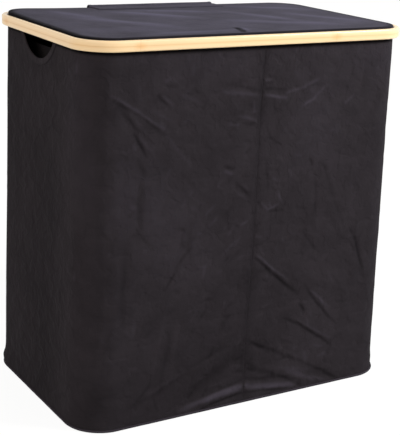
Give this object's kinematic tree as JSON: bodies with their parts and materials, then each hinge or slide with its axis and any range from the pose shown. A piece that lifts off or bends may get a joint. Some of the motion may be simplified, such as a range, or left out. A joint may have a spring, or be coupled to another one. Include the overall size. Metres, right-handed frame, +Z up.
{
  "type": "laundry hamper with two bins",
  "caption": "Lidded laundry hamper with soft cloth walls under a bamboo rim, a divider between its bins, liner bags and finger holes in its ends.",
  "frame": {"origin": "centre of the base on the floor", "axes": "+X to the right seen from the front, +Y towards the hinged back, +Z up"},
  "size_m": [0.585, 0.36, 0.6],
  "materials": {
    "bamboo": "satin lacquer",
    "wall_cloth": "fine plain weave, charcoal plum",
    "lid_cloth": "fine plain weave, charcoal plum, seen in more light",
    "bag_cloth": "thin plain weave",
    "webbing": "ribbed webbing",
    "greyboard": "plain board",
    "screw_steel": "zinc plated"
  },
  "bodies": {
    "hamper_body": {"rim_outer_hoop": "bamboo", "rim_inner_hoop": "bamboo", "rim_screw_01": "screw_steel", "rim_screw_02": "screw_steel", "rim_screw_03": "screw_steel", "rim_screw_04": "screw_steel", "rim_screw_05": "screw_steel", "rim_screw_06": "screw_steel", "rim_screw_07": "screw_steel", "rim_screw_08": "screw_steel", "rim_screw_09": "screw_steel", "rim_screw_10": "screw_steel", "rim_screw_11": "screw_steel", "rim_screw_12": "screw_steel", "wall_left": "wall_cloth", "wall_right": "wall_cloth", "grip_binding_left": "wall_cloth", "grip_binding_right": "wall_cloth", "divider_panel": "wall_cloth", "divider_rod": "bamboo", "corner_rod_front_left": "bamboo", "corner_rod_back_left": "bamboo", "corner_rod_front_right": "bamboo", "corner_rod_back_right": "bamboo", "rod_sleeve_front_left": "wall_cloth", "rod_sleeve_back_left": "wall_cloth", "rod_sleeve_front_right": "wall_cloth", "rod_sleeve_back_right": "wall_cloth", "base_cloth": "wall_cloth", "base_welt": "wall_cloth", "base_board_left": "greyboard", "base_board_right": "greyboard", "hinge_cloth_body_side": "lid_cloth", "bag_floor_left": "bag_cloth", "bag_front_panel_left": "bag_cloth", "bag_back_panel_left": "bag_cloth", "bag_end_panel_left": "bag_cloth", "bag_middle_panel_left": "bag_cloth", "bag_floor_right": "bag_cloth", "bag_front_panel_right": "bag_cloth", "bag_back_panel_right": "bag_cloth", "bag_end_panel_right": "bag_cloth", "bag_middle_panel_right": "bag_cloth"},
    "lid": {"lid_cover_top": "lid_cloth", "lid_board": "greyboard", "lid_cover_bottom": "wall_cloth", "hinge_cloth_lid_side": "lid_cloth"},
    "loop_front_left": {"bag_loop_front_left": "webbing"},
    "loop_back_left": {"bag_loop_back_left": "webbing"},
    "loop_front_right": {"bag_loop_front_right": "webbing"},
    "loop_back_right": {"bag_loop_back_right": "webbing"}
  },
  "joints": [
    {"name": "lid_hinge", "type": "hinge", "parent": "hamper_body", "child": "lid", "pos_m": [0, 0.1793, 0.5975], "axis": [-1, 0, 0], "range_deg": [0, 240]},
    {"name": "loop_front_left_swing", "type": "hinge", "parent": "hamper_body", "child": "loop_front_left", "pos_m": [-0.13075, -0.15828, 0.55], "axis": [1, 0, 0], "range_deg": [0, 110]},
    {"name": "loop_back_left_swing", "type": "hinge", "parent": "hamper_body", "child": "loop_back_left", "pos_m": [-0.13075, 0.15828, 0.55], "axis": [-1, 0, 0], "range_deg": [0, 110]},
    {"name": "loop_front_right_swing", "type": "hinge", "parent": "hamper_body", "child": "loop_front_right", "pos_m": [0.13075, -0.15828, 0.55], "axis": [1, 0, 0], "range_deg": [0, 110]},
    {"name": "loop_back_right_swing", "type": "hinge", "parent": "hamper_body", "child": "loop_back_right", "pos_m": [0.13075, 0.15828, 0.55], "axis": [-1, 0, 0], "range_deg": [0, 110]}
  ]
}
